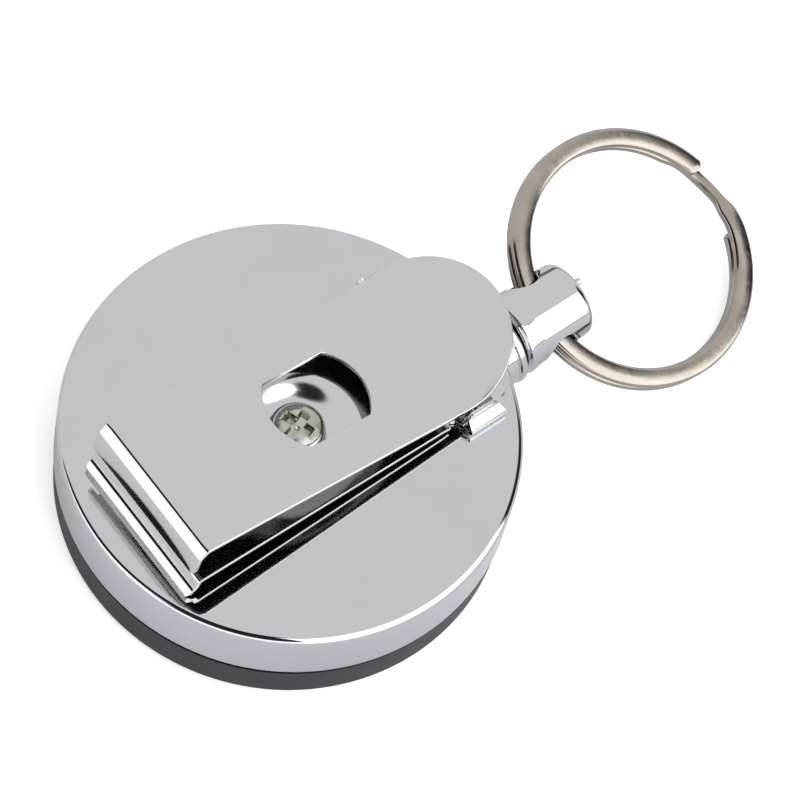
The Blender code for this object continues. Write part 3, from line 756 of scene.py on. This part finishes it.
def make_screw():
    seat = CASE_H + 0.6
    top = seat + HEAD_H
    profile = [(0, 6.2), (SHANK_R - 0.3, 6.2), (SHANK_R, 6.6)]
    z = 6.8
    while z < seat - 1.0:
        profile += [(SHANK_R, z), (SHANK_R - 0.22, z + 0.22)]
        z += 0.45
    profile += [(SHANK_R, seat - 0.5), (SHANK_R, seat, 0.05), (HEAD_R, seat, 0.08)]
    profile += [(HEAD_R, seat + 0.5, 0.35), (HEAD_R - 0.3, seat + 0.92, 0.5)]
    profile += [(1.3, top - 0.03, 0.6), (0, top)]
    screw = add_object("screw_body", moved(turned(fillet(profile), 128), (0, MECH_Y, 0)), 40)
    for spin in (20, 110):
        arm = flared_bar(1.5, 0.5, top - 0.95, top + 0.4)
        combine(screw, moved(arm, (0, MECH_Y, 0), Matrix.Rotation(math.radians(spin), 3, "Z")))
    cone = turned([(0, top - 1.2), (0.7, top - 0.5), (0.8, top + 0.4), (0, top + 0.4)], 40)
    combine(screw, moved(cone, (0, MECH_Y, 0)))
    bevel(screw, 0.05, 45)
    place(screw, "case", SCREW_ZINC, "screw_zinc", "clip_screw")


def flared_bar(reach, half, low, high):
    """Bar that tapers downwards, for one slot of a cross recess."""
    rows = []
    for z, grow in ((low, -0.45), (high, 0.15)):
        a = reach + grow * 0.9
        b = half + grow * 0.28
        rows.append([(-a, -b, z), (a, -b, z), (a, b, z), (-a, b, z)])
    return loft(rows)


# ---------------------------------------------------------------- studio and camera

AZIMUTH = math.radians(-51.0)
ELEVATION = math.radians(62.78)
ROLL = math.radians(15.38)
LENS = 202.5
DISTANCE = 383.63
AIM_RIGHT = 9.2
AIM_UP = 2.35


def from_view(x, y, z):
    """Turn a direction given as the view's right, away and up into the part's frame."""
    spin = -AZIMUTH
    c = math.cos(spin)
    s = math.sin(spin)
    return Vector((x * c + y * s, -x * s + y * c, z))


RIGHT = from_view(1, 0, 0)
NEAR = from_view(0, -1, 0)


def make_camera():
    back = from_view(0, -math.cos(ELEVATION), math.sin(ELEVATION))
    level = from_view(0, math.sin(ELEVATION), math.cos(ELEVATION))
    right = RIGHT * math.cos(ROLL) + level * math.sin(ROLL)
    up = -RIGHT * math.sin(ROLL) + level * math.cos(ROLL)
    spot = back * DISTANCE + right * AIM_RIGHT + up * AIM_UP + Vector((0, 0, CASE_H))
    data = bpy.data.cameras.new("camera")
    data.sensor_width = 36.0
    data.lens = LENS
    data.clip_start = 0.01
    data.clip_end = 20.0
    camera = bpy.data.objects.new("camera", data)
    turn = Matrix((right, up, back)).transposed().to_4x4()
    camera.matrix_world = Matrix.Translation(spot * MM) @ turn
    bpy.context.scene.collection.objects.link(camera)
    bpy.context.scene.camera = camera


def make_world():
    """Studio tent: grey ceiling, dark slots on the camera's side, white walls, a dark far-right corner."""
    world = bpy.data.worlds.new("studio")
    bpy.context.scene.world = world
    world.use_nodes = True
    n = Nodes(world.node_tree)
    way = n.add("ShaderNodeTexCoord").outputs["Generated"]

    def along(vector):
        node = n.add("ShaderNodeVectorMath", {"operation": "DOT_PRODUCT"})
        n.tree.links.new(way, node.inputs[0])
        node.inputs[1].default_value = vector
        return node.outputs["Value"]

    def tilted(degrees):
        """Positive beyond an angle from straight up towards the camera's side."""
        a = math.radians(degrees)
        return along(NEAR * math.cos(a) - Vector((0, 0, 1)) * math.sin(a))

    r = along(RIGHT)
    near = along(NEAR)
    up = along(Vector((0, 0, 1)))

    def product(first, *others):
        for other in others:
            first = n.math("MULTIPLY", first, other)
        return first

    wall_edge = along(RIGHT * 0.643 + NEAR * 0.732 - Vector((0, 0, 0.222)))
    right_wall = product(n.step(wall_edge, -0.004, 0.006), n.step(r, -0.01, 0.01),
                         n.step(near, -0.34, -0.26), n.step(along(RIGHT - NEAR * 0.45), -0.01, 0.03))
    slot = product(n.step(tilted(3), -0.02, 0.03), n.step(tilted(38), 0.03, -0.03))
    left_wall = n.step(tilted(38), -0.02, 0.03)
    camera_side = product(n.step(r, -0.55, -0.30), n.step(tilted(34), -0.02, 0.03),
                          n.step(tilted(62), 0.05, -0.05))
    corner = product(n.step(r, 0.42, 0.52), n.step(near, -0.26, -0.34), n.step(up, 0.76, 0.68),
                     n.step(near, -0.80, -0.66))
    line = product(n.step(up, 0.035, 0.02), n.step(up, -0.03, -0.015), n.step(near, -0.7, -0.6))
    grey = (0.99, 0.995, 1.0, 1)
    colour = n.mix(left_wall, grey, (1.85, 1.9, 1.97, 1))
    colour = n.mix(slot, colour, (0.02, 0.02, 0.022, 1))
    colour = n.mix(camera_side, colour, (0.04, 0.04, 0.045, 1))
    colour = n.mix(right_wall, colour, (2.6, 2.65, 2.7, 1))
    colour = n.mix(corner, colour, (0.03, 0.03, 0.035, 1))
    colour = n.mix(line, colour, (0.05, 0.05, 0.055, 1))
    path = n.add("ShaderNodeLightPath").outputs["Is Camera Ray"]
    colour = n.mix(path, colour, (1.0, 1.0, 1.0, 1))
    background = n.add("ShaderNodeBackground")
    n.tree.links.new(colour, background.inputs["Color"])
    out = n.add("ShaderNodeOutputWorld")
    n.tree.links.new(background.outputs[0], out.inputs["Surface"])


def make_floor():
    bm = bmesh.new()
    bmesh.ops.create_circle(bm, cap_ends=True, radius=3000.0, segments=64)
    floor = add_object("floor", bm)
    floor.location.z = -0.00002
    mat = bpy.data.materials.new("floor_paper")
    mat.use_nodes = True
    n = Nodes(mat.node_tree)
    out = n.add("ShaderNodeOutputMaterial")
    shader = n.add("ShaderNodeBsdfPrincipled", Roughness=0.9)
    coords = n.add("ShaderNodeTexCoord").outputs["Object"]
    grain = n.noise(coords, 300.0, 3.0)
    paper = n.mix(grain, (0.90, 0.90, 0.90, 1), (0.92, 0.92, 0.92, 1))
    rays = n.add("ShaderNodeLightPath").outputs
    # painted shade in reflections: seen by glossy rays the floor turns a darker grey, so the chrome mirrors
    # a dimmer floor than the camera sees
    tint = n.mix(rays["Is Glossy Ray"], paper, (0.76, 0.77, 0.785, 1))
    n.tree.links.new(tint, shader.inputs["Base Color"])
    shader.inputs["Emission Color"].default_value = (1, 1, 1, 1)
    glow = n.math("MULTIPLY", rays["Is Camera Ray"], 0.42)
    n.tree.links.new(glow, shader.inputs["Emission Strength"])
    n.tree.links.new(shader.outputs[0], out.inputs["Surface"])
    floor.data.materials.append(mat)


def make_lamp():
    """Soft overhead fill that lights the paper without showing in the chrome."""
    data = bpy.data.lights.new("fill", "AREA")
    data.shape = "DISK"
    data.size = 1.2
    data.energy = 2.1
    lamp = bpy.data.objects.new("fill", data)
    lamp.location = Vector((-0.1, -0.2, 1.3))
    lamp.rotation_mode = "QUATERNION"
    lamp.rotation_quaternion = lamp.location.to_track_quat("Z", "Y")
    lamp.visible_glossy = False
    bpy.context.scene.collection.objects.link(lamp)


make_camera()
make_world()
make_floor()
make_lamp()
make_cover()
make_cup()
make_neck()
make_ferrule()
make_ring()
make_cord()
make_base()
make_lever()
make_pin()
make_clip_spring()
make_screw()

# Inner pieces keep their plain meshes
KEPT = {"centre_post": PLAIN_STEEL, "outlet_bushing": BLACK_NYLON, "spool": DRUM_PLASTIC,
        "power_spring": SPRING_STEEL, "spring_cover": PLAIN_STEEL, "lower_washer": WHITE_NYLON,
        "upper_washer": WHITE_NYLON, "cord_crimp": BRASS}
for node, mat in KEPT.items():
    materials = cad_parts[node].data.materials
    materials.clear()
    materials.append(mat)

bpy.context.scene.view_settings.view_transform = "Standard"
